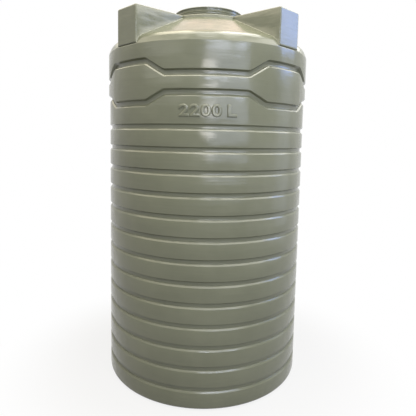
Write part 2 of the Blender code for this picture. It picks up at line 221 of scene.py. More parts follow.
def rounded(outline):
    """Outline of (radius, height) or (radius, height, corner radius, steps) with curved corners."""
    path = []
    for index, corner in enumerate(outline):
        here = Vector(corner[:2])
        if len(corner) == 2:
            path.append(here)
            continue
        back = Vector(outline[index - 1][:2]) - here
        ahead = Vector(outline[index + 1][:2]) - here
        turn = math.pi - back.angle(ahead)
        cut = min(corner[2] * math.tan(turn / 2), back.length * SIDE_SHARE, ahead.length * SIDE_SHARE)
        start = here + back.normalized() * cut
        end = here + ahead.normalized() * cut
        for step in range(corner[3] + 1):
            share = step / corner[3]
            path.append(start * (1 - share) ** 2 + here * 2 * share * (1 - share) + end * share ** 2)
    return path


print("a corner of 3 steps gives", len(rounded([(0, 0), (1, 0, 0.1, 3), (1, 1)])) - 2, "points")

# %% [markdown]
# ## The tank's sizes
# The sizes are the frame's own, in metres. A groove is a shallow channel with sloping sides. The two
# zigzag grooves run lower or higher in front of each lug, so their height depends on the azimuth,
# which is counted from the front towards the right.

# %% Sizes of the moulding
BODY_RADIUS = 0.610
HEAD_RADIUS = 0.617
WALL = 0.006
BASE_FILLET = 0.025
GROOVE_COUNT = 13     # the straight grooves, and the bands between them
GROOVE_PITCH = 0.1175
GROOVE_HEIGHT = 0.0348
GROOVE_DEPTH = 0.011
GROOVE_SIDE = 0.006
BROW_DEPTH = 0.0070   # the flat facet along the upper edge of a band
BROW_SLOPE = math.radians(37.0)
BOTTOM_BAND = 0.0955
ZIGZAG_HEIGHT = 0.039
CAPACITY_BAND = 0.0862
LOWER_STEP = 0.052
BELT_HEIGHT = 0.098
UPPER_STEP = 0.064
NARROW_END = math.radians(21.0)
WIDE_START = math.radians(31.3)
HEAD_BAND = 0.0755
SHOULDER_RISE = 0.045
SHOULDER_RUN = 0.017
ROOF_SLOPE = math.radians(26.8)
DECK_RADIUS = 0.299
DECK_RISE = 0.018
LUG_WIDTH = 0.170
LUG_STEP = 0.006
LUG_FOOT = 0.007
LUG_SLOPE = math.radians(1.6)
LUG_BELOW_DECK = 0.001
HEAD_STEP = 0.002     # how far a lug's face stands out from the head's flat
NECK_RADIUS = 0.196
NECK_HEIGHT = 0.0485
COLLAR_RADIUS = 0.209
COLLAR_HEIGHT = 0.0285

RIBS_TOP = BOTTOM_BAND + (GROOVE_COUNT - 1) * GROOVE_PITCH + GROOVE_HEIGHT
LOWER_WIDE_Z = RIBS_TOP + CAPACITY_BAND + ZIGZAG_HEIGHT / 2
LOWER_NARROW_Z = LOWER_WIDE_Z + LOWER_STEP
UPPER_NARROW_Z = LOWER_NARROW_Z + BELT_HEIGHT
UPPER_WIDE_Z = UPPER_NARROW_Z + UPPER_STEP
SHOULDER_Z = UPPER_WIDE_Z + ZIGZAG_HEIGHT / 2 + HEAD_BAND
CREASE_RADIUS = HEAD_RADIUS - SHOULDER_RUN
CREASE_Z = SHOULDER_Z + SHOULDER_RISE
ROOF_TOP_Z = CREASE_Z + (CREASE_RADIUS - DECK_RADIUS) * math.tan(ROOF_SLOPE)
DECK_Z = ROOF_TOP_Z + DECK_RISE
COLLAR_Z = DECK_Z + COLLAR_HEIGHT
NECK_TOP_Z = DECK_Z + NECK_HEIGHT

LUG_AZIMUTH = math.pi / 4
LUG_HALF_WIDTH = LUG_WIDTH / 2
LUG_FLAT = HEAD_RADIUS * math.cos(math.asin(LUG_HALF_WIDTH / HEAD_RADIUS))
LUG_FACE = LUG_FLAT + LUG_STEP
HEAD_FLAT = LUG_FACE - HEAD_STEP
HEAD_FLAT_HALF = math.sqrt(HEAD_RADIUS ** 2 - HEAD_FLAT ** 2)
LUG_FOOT_Z = SHOULDER_Z + LUG_FOOT
LUG_ROOT = (DECK_RADIUS + COLLAR_RADIUS) / 2
print("shoulder", round(SHOULDER_Z, 4), "deck", round(DECK_Z, 4), "neck top", round(NECK_TOP_Z, 4))

# %% [markdown]
# ## Section of the wall
# One function gives the wall's section at any azimuth from the base to just above the shoulder's edge.
# It keeps the same corners everywhere, so the sections can be joined line by line, which fifteen cuts
# into a plain drum wouldn't allow. The upper edge of each band is a brow, a flat facet 7 mm deep at 37
# degrees, which catches the lamps above as a thin bright line all the way round.

# %% Wall section
BAND_EDGE = 0.003
BROW_EDGE = 0.002
BROW_LIP = 0.0015
CHANNEL_EDGE = 0.004
SHOULDER_EDGE = 0.010
BASE_HUB = 0.05
KNEE_SOFTNESS = math.radians(0.7)


def zigzag_share(azimuth):
    """0 in the narrow stretches of the belt and 1 below a lug, with slightly soft knees."""
    shares = [(azimuth + slip - NARROW_END) / (WIDE_START - NARROW_END)
              for slip in (-KNEE_SOFTNESS, 0.0, KNEE_SOFTNESS)]
    return sum(min(max(share, 0.0), 1.0) for share in shares) / len(shares)


def head_radius(azimuth):
    return min(HEAD_RADIUS, HEAD_FLAT / math.cos(LUG_AZIMUTH - azimuth))


def groove(below, above, centre, height):
    """Corners of a channel from its lower edge up, between the wall's radii below and above."""
    floor = BODY_RADIUS - GROOVE_DEPTH
    low = centre - height / 2
    high = centre + height / 2
    brow = low + BROW_DEPTH / math.tan(BROW_SLOPE)
    return [(below, low, BROW_EDGE, 2), (below - BROW_DEPTH, brow, BROW_EDGE, 2),
            (floor, brow + BROW_LIP, CHANNEL_EDGE, 2), (floor, high - GROOVE_SIDE, CHANNEL_EDGE, 2),
            (above, high, BAND_EDGE, 3)]


def channels(azimuth, shape):
    """Corners of all channels from the bottom up, where a function such as groove shapes each one."""
    corners = []
    for index in range(GROOVE_COUNT):
        centre = BOTTOM_BAND + index * GROOVE_PITCH + GROOVE_HEIGHT / 2
        corners += shape(BODY_RADIUS, BODY_RADIUS, centre, GROOVE_HEIGHT)
    share = zigzag_share(azimuth)
    lower = LOWER_NARROW_Z + share * (LOWER_WIDE_Z - LOWER_NARROW_Z)
    upper = UPPER_NARROW_Z + share * (UPPER_WIDE_Z - UPPER_NARROW_Z)
    corners += shape(BODY_RADIUS, HEAD_RADIUS, lower, ZIGZAG_HEIGHT)
    corners += shape(HEAD_RADIUS, head_radius(azimuth), upper, ZIGZAG_HEIGHT)
    return corners


def wall_section(azimuth, top_radius):
    """Outline of the wall from the base's hub to the height of the lugs' feet."""
    outline = [(BASE_HUB, 0.0), (BODY_RADIUS, 0.0, BASE_FILLET, 6)] + channels(azimuth, groove)
    outline += [(head_radius(azimuth), SHOULDER_Z, SHOULDER_EDGE, 3), (top_radius, LUG_FOOT_Z)]
    return rounded(outline)


print("points in a wall section:", len(wall_section(0.0, HEAD_RADIUS - HEAD_STEP)))

# %% [markdown]
# ## Lugs on the roof
# Each lug is a square block with round edges that grows out of the sloping roof, and its outer face
# stands a few millimetres out from a flat of the wall. Cutting and joining solids would leave hard,
# ragged seams there, so the skin is woven instead. Rows run across the roof from the shoulder in to
# the deck, and every row climbs the lug: out of the roof by a fillet, up the side, over the edge, and
# across the top to the lug's middle. Half of one quarter is enough, because the rest is its mirror
# image.

# %% One row over the roof and a lug
LUG_EDGE = 0.007
LUG_FILLET = 0.002
FILLET_STEPS = 3
SIDE_STEPS = 3
EDGE_STEPS = 4
TOP_STEPS = 3
CREASE_ROUND = 0.055
LUG_ALONG = Vector((math.sin(LUG_AZIMUTH), -math.cos(LUG_AZIMUTH), 0.0))
LUG_ACROSS = Vector((-math.cos(LUG_AZIMUTH), -math.sin(LUG_AZIMUTH), 0.0))

roof_line = rounded([(HEAD_RADIUS, SHOULDER_Z), (CREASE_RADIUS, CREASE_Z, CREASE_ROUND, 10),
                     (DECK_RADIUS, ROOF_TOP_Z), (0.0, ROOF_TOP_Z + DECK_RADIUS * math.tan(ROOF_SLOPE))])


def roof_height(radius):
    """Height of the shoulder's slope, the crease and the roof at a radius."""
    return float(np.interp(radius, [point.x for point in reversed(roof_line)],
                           [point.y for point in reversed(roof_line)]))


def lug_top(along):
    return DECK_Z - LUG_BELOW_DECK - (along - LUG_ROOT) * math.tan(LUG_SLOPE)


def on_lug(along, across, height):
    return LUG_ALONG * along + LUG_ACROSS * across + Vector((0.0, 0.0, height))


def at_azimuth(azimuth, radius, height):
    return Vector((radius * math.sin(azimuth), -radius * math.cos(azimuth), height))


def azimuth_of(point):
    return math.atan2(point.x, -point.y)


def lug_profile(along_of, base_of, inset=0.0, fillet=LUG_FILLET):
    """Points of a row from the lug's foot to its middle: one function gives the distance along the
    lug for a distance across it, and the other the height of the ground at a radius."""
    half = LUG_HALF_WIDTH - inset
    points = []
    for step in range(FILLET_STEPS + 1):
        turn = math.pi / 2 * step / FILLET_STEPS
        across = half + fillet * (1 - math.sin(turn))
        along = along_of(across)
        base = base_of(math.hypot(along, across))
        points.append((along, across, base + fillet * (1 - math.cos(turn))))
    along = along_of(half)
    high = lug_top(along) - inset - LUG_EDGE
    low = points[-1][2]
    for step in range(1, SIDE_STEPS + 1):
        points.append((along, half, low + (high - low) * step / SIDE_STEPS))
    for step in range(1, EDGE_STEPS + 1):
        turn = math.pi / 2 * step / EDGE_STEPS
        across = half - LUG_EDGE * (1 - math.cos(turn))
        along = along_of(across)
        points.append((along, across, lug_top(along) - inset - LUG_EDGE * (1 - math.sin(turn))))
    inner = half - LUG_EDGE
    for step in range(1, TOP_STEPS + 1):
        across = inner * (1 - step / TOP_STEPS)
        along = along_of(across)
        points.append((along, across, lug_top(along) - inset))
    return points


print("points on a lug's half profile:", len(lug_profile(lambda across: 0.5, roof_height)))

# %% [markdown]
# ## Face of a lug
# The face's edge is a quarter round on all four sides, and the rows that follow it run from the
# middle of the foot, round the lower corner, up the side and over to the middle of the top. Inside
# them the flat face is filled by copies of its outline that shrink towards its middle, so it stays
# dead flat and its edge keeps a clean highlight.

# %% Rows of a lug's face
CORNER_ROWS = 5
FOOT_EDGE = 0.005
FACE_FILLET = 0.001
RING_SHARES = (0.0, 0.35, 0.7, 0.97)
FOOT_ALONG = LUG_FACE - LUG_EDGE
FOOT_ACROSS = LUG_HALF_WIDTH + LUG_FILLET
FLAT_SHARE = FOOT_ALONG * HEAD_FLAT_HALF / HEAD_FLAT / FOOT_ACROSS
FOOT_SHARES = (0.0, FLAT_SHARE / 2, FLAT_SHARE, 0.75, 0.95)


def corner_row(turn):
    """A row round the face's edge: turn runs from 90 degrees on the face to 0 on the sides."""
    inset = LUG_EDGE * (1 - math.cos(turn))
    along = LUG_FACE - LUG_EDGE * (1 - math.sin(turn))
    base = LUG_FOOT_Z + FOOT_EDGE * (1 - math.cos(turn))
    fillet = FACE_FILLET + (LUG_FILLET - FACE_FILLET) * math.cos(turn)
    points = lug_profile(lambda across: along, lambda radius: base, inset, fillet)
    foot = [(along, points[0][1] * share, base) for share in FOOT_SHARES]
    return [on_lug(*point) for point in foot + points]


corner_turns = [math.pi / 2 * (1 - step / (CORNER_ROWS - 1)) for step in range(CORNER_ROWS)]
corner_rows = [corner_row(turn) for turn in corner_turns]
face_middle = on_lug(LUG_FACE, 0.0, (LUG_FOOT_Z + lug_top(LUG_FACE)) / 2)
face_rows = [[face_middle.lerp(point, share) for point in corner_rows[0]] for share in RING_SHARES]
face_rows += corner_rows
print("face:", len(face_rows), "rows of", len(face_rows[0]), "points")

# %% [markdown]
# ## Rows from the shoulder to the deck
# The first row lies at the height of the lugs' feet, and the next ones follow the crease and the
# cone. The last one lies on the foot of the deck's rim, which is a circle, so the rows bend from
# straight to round as they come in.

# %% Rows of the roof
RIM_FOOT = 0.004
RIM_SHARE = 0.4       # the most that the fillet at the rim's foot takes of the rim's height
RIM_EDGE = 0.007
FOOT_SPREAD = 12      # a higher power swells out later, nearer to the lug
CONE_RADII = (0.580, 0.552, 0.520, 0.485, 0.450, 0.415, 0.380, 0.350, 0.328, 0.314)
BEND_START = CONE_RADII[3]
# Degrees from the front, close together at the knees of the zigzags.
KNEE_AZIMUTHS = (0.0, 2.6, 5.2, 7.8, 10.4, 13.0, 15.6, 18.0, 20.3, 21.0, 21.7, 24.0, 26.2, 28.4,
                 30.6, 31.3, 32.0, 34.2)
foot_azimuth = LUG_AZIMUTH - math.atan2(FOOT_ACROSS, FOOT_ALONG)
roof_azimuths = [math.radians(angle) for angle in KNEE_AZIMUTHS] + [foot_azimuth]
roof_shares = [azimuth / foot_azimuth for azimuth in roof_azimuths]
BELOW_FOOT = HEAD_RADIUS - LUG_FOOT / SHOULDER_RISE * SHOULDER_RUN


def rim_foot(base):
    """Radius of the fillet at the foot of the deck's rim, which shrinks where the rim is low."""
    return min(RIM_FOOT, (DECK_Z - base) * RIM_SHARE)


def full_row(lug_points):
    """Roof points from the front line to the lug's foot, and the lug's points after them."""
    foot = lug_points[0]
    radius = math.hypot(foot.x, foot.y)
    end = azimuth_of(foot)
    return [at_azimuth(share * end, radius, foot.z) for share in roof_shares[:-1]] + lug_points


def foot_row():
    """The row at the lugs' feet: on the shoulder's slope, and swelling out to meet a lug."""
    lug_points = corner_rows[-1][len(FOOT_SHARES):]
    foot = math.hypot(FOOT_ALONG, FOOT_ACROSS)
    radii = [BELOW_FOOT + (foot - BELOW_FOOT) * share ** FOOT_SPREAD for share in roof_shares[:-1]]
    return [at_azimuth(azimuth, radius, LUG_FOOT_Z)
            for azimuth, radius in zip(roof_azimuths, radii)] + lug_points


def cone_row(radius):
    """A row at one radius: straight across the lug far out, and round it near the deck."""
    straight = math.sqrt(radius ** 2 - FOOT_ACROSS ** 2)
    bend = min(max((BEND_START - radius) / (BEND_START - CONE_RADII[-1]), 0.0), 1.0)
    points = lug_profile(lambda across: straight + bend * (
        math.sqrt(radius ** 2 - across ** 2) - straight), roof_height)
    return full_row([on_lug(*point) for point in points])


def rim_foot_row():
    """The last row, where the roof and the lugs run into the foot of the deck's rim."""
    inner = DECK_RADIUS + RIM_FOOT
    moved = []
    for along, across, height in lug_profile(lambda across: math.sqrt(inner ** 2 - across ** 2),
                                             roof_height):
        radius = DECK_RADIUS + rim_foot(height)
        moved.append(on_lug(math.sqrt(radius ** 2 - across ** 2), across, height))
    return full_row(moved)


crease_radii = [point.x for point in roof_line[1:-2]]
roof_rows = [foot_row()] + [cone_row(radius) for radius in crease_radii + list(CONE_RADII)]
roof_rows.append(rim_foot_row())
print("rows from the shoulder to the deck:", len(roof_rows), "of", len(roof_rows[0]), "points")

# %% [markdown]
# ## Deck and neck
# From the rim inwards the tank is plain turned work: a rim with a soft edge, a flat deck, a collar,
# and the neck. It could be a spun piece, but the real one is one moulding, so its rows keep each
# column's azimuth, only change radius and height, and stay part of the skin.

# %% Rows of the deck and neck
DECK_ROWS = (0.27, 0.24)


def rim_rows(start_row):
    """Rows up the deck's rim: each column climbs from its own height on the roof or the lug."""
    columns = []
    for point in start_row:
        foot = rim_foot(point.z)
        edge = min(RIM_EDGE, (DECK_Z - point.z) * SIDE_SHARE)
        outline = [(DECK_RADIUS + foot, point.z), (DECK_RADIUS, point.z, foot, 3),
                   (DECK_RADIUS, DECK_Z, edge, 3), (DECK_RADIUS - 2 * RIM_EDGE, DECK_Z)]
        columns.append([at_azimuth(azimuth_of(point), spot.x, spot.y) for spot in rounded(outline)[1:]])
    return [list(row) for row in zip(*columns)]


def turned_rows(azimuths, outline):
    """Rows of a round outline, with the azimuths of the columns that they continue."""
    return [[at_azimuth(azimuth, spot.x, spot.y) for azimuth in azimuths] for spot in rounded(outline)]


deck_rows = rim_rows(roof_rows[-1])
neck_azimuths = [azimuth_of(point) for point in deck_rows[-1]]
neck_bore = NECK_RADIUS - WALL
neck_outline = [(radius, DECK_Z) for radius in DECK_ROWS]
neck_outline += [(COLLAR_RADIUS, DECK_Z, 0.004, 3), (COLLAR_RADIUS, COLLAR_Z, 0.003, 3),
                 (NECK_RADIUS, COLLAR_Z, 0.002, 2), (NECK_RADIUS, NECK_TOP_Z, 0.0015, 2),
                 (neck_bore, NECK_TOP_Z, 0.0015, 2), (neck_bore, DECK_Z)]
neck_rows = turned_rows(neck_azimuths, neck_outline)
print("rows of the deck and neck:", len(deck_rows) + len(neck_rows))

# %% [markdown]
# ## Inside of the wall
# The tank is hollow, so the skin turns over the neck's rim and runs down inside, 6 mm from the
# outside. A solidify modifier would fold over itself in the narrow channels. Nobody sees the inside
# past the lid, so it has the channels but not their soft edges.

# %% Rows of the inside
def plain_groove(below, above, centre, height):
    """The channel's corners for the wall's inside: straight sides and no brow."""
    corners = groove(below, above, centre, height)
    return [corners[0], corners[2], corners[3], corners[4]]


def moved_in(points, distance):
    """Move an outline that starts on the base in by a distance, square to each side."""
    path = [Vector((0.0, points[0][1]))] + [Vector(point) for point in points]
    path.append(path[-1] + Vector((0.0, 1.0)))
    moved = []
    for before, here, after in zip(path, path[1:], path[2:]):
        first = (here - before).normalized()
        second = (after - here).normalized()
        middle = (Vector((-first.y, first.x)) + Vector((-second.y, second.x))).normalized()
        moved.append(here + middle * distance / middle.dot(Vector((-first.y, first.x))))
    return moved


def inner_section(azimuth):
    """Inside of the wall from the base up to the neck, as plain corners."""
    outline = [(BASE_HUB, 0.0), (BODY_RADIUS - BASE_FILLET, 0.0), (BODY_RADIUS, BASE_FILLET)]
    outline += channels(azimuth, plain_groove)
    outline += [(head_radius(azimuth), SHOULDER_Z), (CREASE_RADIUS, CREASE_Z),
                (NECK_RADIUS, DECK_Z - WALL / 2)]
    return moved_in([corner[:2] for corner in outline], WALL)


lug_columns = len(neck_azimuths) - len(roof_azimuths)
inner_azimuths = roof_azimuths + [
    LUG_AZIMUTH - math.atan2(FOOT_ACROSS * (1 - step / lug_columns), FOOT_ALONG)
    for step in range(1, lug_columns + 1)]
inner_columns = []
for wall_azimuth, neck_azimuth in zip(inner_azimuths, neck_azimuths):
    section = inner_section(wall_azimuth)
    column = [at_azimuth(wall_azimuth, spot.x, spot.y) for spot in section[:-1]]
    column.append(at_azimuth(neck_azimuth, section[-1].x, section[-1].y))
    inner_columns.append(list(reversed(column)))
inner_rows = [list(row) for row in zip(*inner_columns)]
print("rows of the inside:", len(inner_rows))

# %% [markdown]
# ## Wall below the roof and the lugs
# The wall's columns end on the roof's first row and, below a lug, on the foot of its face. Each one is
# drawn at the azimuth of the point that it meets, so no gap is left to close.

# %% Wall columns
foot_points = list(reversed(corner_rows[-1][:len(FOOT_SHARES)]))
wall_columns = []
for point in roof_rows[0][:len(roof_azimuths)] + foot_points:
    azimuth = azimuth_of(point)
    section = wall_section(azimuth, math.hypot(point.x, point.y))
    wall_columns.append([at_azimuth(azimuth, spot.x, spot.y) for spot in section])
wall_rows = [list(row) for row in zip(*wall_columns)]
print("wall:", len(wall_rows), "rows of", len(wall_rows[0]), "points in half a quarter")

# %% [markdown]
# ## Weaving the skin
# The rows become faces, turned all the way round and mirrored in between. Modifiers could repeat them
# too, but here the points that meet are merged at once, which joins the patches into one skin.

# %% Build the moulding
MERGE = 0.0001
SHARP_ABOVE = 35.0


def smooth(mesh, sharp_above=SHARP_ABOVE):
    """Shade a mesh smooth, but leave edges sharp where the faces turn by more degrees than this."""
    mesh.shade_smooth()
    mesh.set_sharp_from_angle(angle=math.radians(sharp_above))


def link_mesh(name, bm):
    """Turn a bmesh into an object with smooth faces."""
    mesh = bpy.data.meshes.new(name)
    bm.to_mesh(mesh)
    bm.free()
    smooth(mesh)
    return add_object(name, mesh)


def weave(bm, rows, turn, mirrored):
    """Add rows of points as faces, turned about +Z and mirrored where asked."""
    flip = Matrix.Diagonal((-1.0 if mirrored else 1.0, 1.0, 1.0))
    place_by = Matrix.Rotation(turn, 3, "Z") @ flip
    grid = [[bm.verts.new(place_by @ point) for point in row] for row in rows]
    for lower, upper in zip(grid, grid[1:]):
        for index in range(len(lower) - 1):
            corners = [lower[index], lower[index + 1], upper[index + 1], upper[index]]
            bm.faces.new(reversed(corners) if mirrored else corners)


def woven(name, patches, count):
    """Weave patches of rows all round the axis, turned and mirrored, into one skin."""
    bm = bmesh.new()
    for sector in range(count):
        for mirrored in (False, True):
            for rows in patches:
                weave(bm, rows, sector * math.tau / count, mirrored)
    bmesh.ops.remove_doubles(bm, verts=bm.verts, dist=MERGE)
    bmesh.ops.holes_fill(bm, edges=[edge for edge in bm.edges if edge.is_boundary], sides=0)
    bmesh.ops.recalc_face_normals(bm, faces=bm.faces)
    print(name, "has", sum(1 for edge in bm.edges if not edge.is_manifold), "open or shared edges")
    return link_mesh(name, bm)


shell = woven("moulded_tank", (wall_rows, face_rows, roof_rows + deck_rows + neck_rows + inner_rows), 4)
shell.data.materials.append(polyethylene)
print("moulding:", len(shell.data.polygons), "faces")

# %% [markdown]
# ## Pads and holes for the connectors
# At the rear the moulding has two round pads, flat so that a washer seals on them, each with a drilled
# hole. They are joined and cut with solids, because here a crisp edge is what the real one has.

# %% Pads and holes
PORT_FACE = BODY_RADIUS + 0.002
PORT_STEPS = 72
PAD_RADIUS = 0.055
PAD_START = 0.594
PAD_EDGE = 0.003
HOLE_RADIUS = 0.0304
REARWARD = Matrix.Rotation(math.radians(-90.0), 4, "X")
OUTLET_Z = sum(corner.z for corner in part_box("outlet_body")) / 2
OVERFLOW_Z = sum(corner.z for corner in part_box("overflow_body")) / 2


def add_prism(bm, sides, radius, depth, place_by):
    """A closed prism with its middle on a matrix and its length along the matrix's Z."""
    return bmesh.ops.create_cone(bm, cap_ends=True, segments=sides, radius1=radius, radius2=radius,
                                 depth=depth, matrix=place_by)["verts"]


def port_discs(name, radius, start, end, edge=0.0):
    """Discs on both connectors' lines, between two distances from the axis, as a solid tool."""
    bm = bmesh.new()
    for height in (OUTLET_Z, OVERFLOW_Z):
        place_by = Matrix.Translation((0.0, (start + end) / 2, height)) @ REARWARD
        corners = add_prism(bm, PORT_STEPS, radius, end - start, place_by)
        if edge:
            lines = dict.fromkeys(line for corner in corners for line in corner.link_edges)
            rim = [line for line in lines
                   if all(corner.co.y > end - MERGE for corner in line.verts)]
            bmesh.ops.bevel(bm, geom=rim, offset=edge, segments=3, affect="EDGES")
    return link_mesh(name, bm)


def evaluated_mesh(item):
    """The mesh of an object or a text as its modifiers and settings make it."""
    return bpy.data.meshes.new_from_object(
        item.evaluated_get(bpy.context.evaluated_depsgraph_get()))


def combine(item, tool, operation):
    """Join or cut an object with a tool, keep the result and remove the tool."""
    modifier = item.modifiers.new(operation, "BOOLEAN")
    modifier.operation = operation
    modifier.object = tool
    modifier.solver = "EXACT"
    result = evaluated_mesh(item)
    item.modifiers.clear()
    item.data = result
    bpy.data.objects.remove(tool, do_unlink=True)


combine(shell, port_discs("pads", PAD_RADIUS, PAD_START, PORT_FACE, PAD_EDGE), "UNION")
combine(shell, port_discs("pad_hollows", PAD_RADIUS - WALL, PAD_START - WALL, PORT_FACE - WALL),
        "DIFFERENCE")
combine(shell, port_discs("holes", HOLE_RADIUS, PAD_START - WALL, PORT_FACE + WALL), "DIFFERENCE")
shell.data.name = "moulded_tank"
smooth(shell.data)
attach(shell, "tank")
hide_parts("tank_shell")
print("moulding with its pads:", len(shell.data.polygons), "faces")

# %% [markdown]
# ## Turned pieces
# The washers, seals and connectors are round about one line, so each is an outline with round corners
# that is spun. A screw modifier could do it, but a spun mesh can be cut and joined at once. One
# function spins, one lays a piece on a connector's line, and one gives a piece its finish and says
# which body it rides on and which piece of the frame it stands for.

# %% Spin an outline
FINISHES = {"polyethylene": polyethylene, "polypropylene": polypropylene, "rubber": rubber}
SPUN_MERGE = 0.000001


def spun(name, outline, steps):
    """Spin an outline of corners about +Z: a closed ring, or a solid if it starts on the axis."""
    path = rounded(outline)
    bm = bmesh.new()
    corners = [bm.verts.new((spot.x, 0.0, spot.y)) for spot in path]
    edges = [bm.edges.new(pair) for pair in zip(corners, corners[1:])]
    if path[0].x > 0.0:
        edges.append(bm.edges.new((corners[-1], corners[0])))
    bmesh.ops.spin(bm, geom=corners + edges, cent=(0, 0, 0), axis=(0, 0, 1), dvec=(0, 0, 0),
                   angle=math.tau, steps=steps, use_merge=True)
    bmesh.ops.remove_doubles(bm, verts=bm.verts, dist=SPUN_MERGE)
    bmesh.ops.recalc_face_normals(bm, faces=bm.faces)
    return link_mesh(name, bm)


def to_rear(item, height):
    """Lay a spun piece on a connector's line, with its own +Z pointing out at the rear."""
    item.data.transform(Matrix.Translation((0.0, 0.0, height)) @ REARWARD)
    return item


def dress(item, body, slot, *nodes):
    """Let a piece ride on a body, take a finish, and stand for nodes of the frame."""
    item.data.materials.append(FINISHES[slot])
    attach(item, body)
    if nodes:
        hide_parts(*nodes)


print("connector lines at", round(OUTLET_Z, 4), "and", round(OVERFLOW_Z, 4))

# %% [markdown]
# ## Screw lid
# The lid is moulded from the same polyethylene. Its skirt runs down over the neck, with a bead for
# grip below a thin flange. The top is dished inside a raised rim and stiffened by a boss and eight
# ribs. The top is a grid whose height follows the ribs, because a rib that swells out of the panel is
# what such a moulding has, and a box stuck on it wouldn't be.

# %% Lid
LID_SEAT_Z = NECK_TOP_Z + 0.0046
LID_BORE = NECK_RADIUS + 0.0025
LID_SKIRT = LID_BORE + 0.009
LID_BEAD = LID_SKIRT + 0.0025
LID_FLANGE = LID_SKIRT + 0.0055
LID_RIM_TOP = LID_SEAT_Z + 0.0129
LID_PANEL_Z = LID_SEAT_Z + 0.006
LID_RIM_INNER = LID_FLANGE - 0.018
LID_RIM_OUTER = LID_FLANGE - 0.004
LID_HUB = 0.004
LID_SEAT_ROW = 0.1
PANEL_RADII = (0.085, 0.120, 0.155)
SKIRT_END = COLLAR_Z + 0.002
FLANGE_LOW = LID_RIM_TOP - 0.0065
BOSS_RADIUS = 0.045
RIB_COUNT = 8
RIB_TOP = LID_RIM_TOP - 0.0015
RIB_HALF = 0.005
RIB_FOOT = 0.0025
RIB_SHARE = 0.6       # the most that a rib takes of its sector, near the boss

top_outline = rounded([(LID_HUB, RIB_TOP), (BOSS_RADIUS, RIB_TOP, 0.003, 3),
                       (BOSS_RADIUS + 0.002, LID_PANEL_Z, 0.003, 3)]
                      + [(radius, LID_PANEL_Z) for radius in PANEL_RADII]
                      + [(LID_RIM_INNER - 0.002, LID_PANEL_Z, 0.003, 3),
                         (LID_RIM_INNER, LID_RIM_TOP, 0.002, 3), (LID_RIM_OUTER, LID_RIM_TOP)])
rib_across = [0.0, RIB_HALF - RIB_FOOT, RIB_HALF - RIB_FOOT / 2, RIB_HALF, RIB_HALF + RIB_FOOT / 2,
              RIB_HALF + RIB_FOOT]
panel_shares = [0.25, 0.5, 0.75, 1.0]


def rib_height(across):
    """Height of a rib above the panel: full in its middle and nothing past its foot."""
    share = (RIB_HALF + RIB_FOOT - abs(across)) / (2 * RIB_FOOT)
    share = min(max(share, 0.0), 1.0)
    return (RIB_TOP - LID_PANEL_Z) * share * share * (3 - 2 * share)


def lid_row(spot):
    """Points of the lid's top at one radius, over half of a rib's sector."""
    sector = math.pi / RIB_COUNT
    foot = min(math.asin(min(rib_across[-1] / spot.x, 1.0)), sector * RIB_SHARE)
    row = []
    for across in rib_across:
        height = max(spot.y, LID_PANEL_Z + rib_height(across)) if spot.x > BOSS_RADIUS else spot.y
        row.append(at_azimuth(foot * across / rib_across[-1], spot.x, height))
    for share in panel_shares:
        row.append(at_azimuth(foot + (sector - foot) * share, spot.x, spot.y))
    return row


lid_rows = [lid_row(spot) for spot in reversed(top_outline)]
rim_azimuths = [azimuth_of(point) for point in lid_rows[0]]
under_outline = [(LID_HUB, LID_SEAT_Z), (LID_SEAT_ROW, LID_SEAT_Z), (LID_BORE, LID_SEAT_Z, 0.001, 2),
                 (LID_BORE, SKIRT_END, 0.0015, 2), (LID_SKIRT, SKIRT_END, 0.0015, 2),
                 (LID_SKIRT, SKIRT_END + 0.010), (LID_BEAD, SKIRT_END + 0.0125, 0.002, 2),
                 (LID_BEAD, SKIRT_END + 0.0145, 0.002, 2), (LID_SKIRT, SKIRT_END + 0.017),
                 (LID_SKIRT, FLANGE_LOW, 0.0015, 2), (LID_FLANGE, FLANGE_LOW, 0.0015, 2),
                 (LID_FLANGE, LID_RIM_TOP, 0.003, 4), (LID_RIM_OUTER, LID_RIM_TOP)]
lid_rows = turned_rows(rim_azimuths, under_outline)[:-1] + lid_rows
lid = woven("moulded_lid", (lid_rows,), RIB_COUNT)
dress(lid, "lid", "polyethylene", "screw_lid")
print("lid:", len(lid.data.polygons), "faces, top at", round(LID_RIM_TOP, 5))

# %% [markdown]
# ## Screw threads
# The lid and the neck hold each other by a coarse round thread, which shows as the lid lifts. It is a
# small ridge swept along a helix, fading out at both ends as a moulded thread does. It lies across the
# rows of the skin, so it isn't woven into them but sunk a little into the surface.

# %% Thread ridges
NECK_PITCH = 0.012
THREAD_LOW = COLLAR_Z + 0.0025
THREAD_HEIGHT = 0.0014
THREAD_THIN = 0.0002
THREAD_SINK = 0.0004
THREAD_WIDTH = 0.004
THREAD_TURNS = 1.1
THREAD_STEPS = 120    # steps in a turn
THREAD_FADE = 0.12    # the share of a turn over which each end fades out


def thread_ridge(name, radius, outward, low):
    """A ridge on a cylinder: outward is 1 where it stands out and -1 where it points to the axis."""
    bm = bmesh.new()
    count = int(THREAD_STEPS * THREAD_TURNS)
    fade_steps = THREAD_STEPS * THREAD_FADE
    root = radius - outward * THREAD_SINK
    rings = []
    for step in range(count + 1):
        turn = step / THREAD_STEPS
        fade = min(1.0, step / fade_steps, (count - step) / fade_steps)
        crest = radius + outward * max(THREAD_HEIGHT * fade, THREAD_THIN)
        flank = (radius + crest) / 2
        shape = [(root, -0.5), (flank, -0.38), (crest, -0.16), (crest, 0.16), (flank, 0.38), (root, 0.5)]
        rings.append([bm.verts.new(at_azimuth(-math.tau * turn, spot,
                                              low + NECK_PITCH * turn + THREAD_WIDTH * rise))
                      for spot, rise in shape])
    for near, far in zip(rings, rings[1:]):
        for index in range(len(near)):
            after = (index + 1) % len(near)
            bm.faces.new((near[index], near[after], far[after], far[index]))
    bm.faces.new(rings[0])
    bm.faces.new(rings[-1])
    bmesh.ops.recalc_face_normals(bm, faces=bm.faces)
    return link_mesh(name, bm)


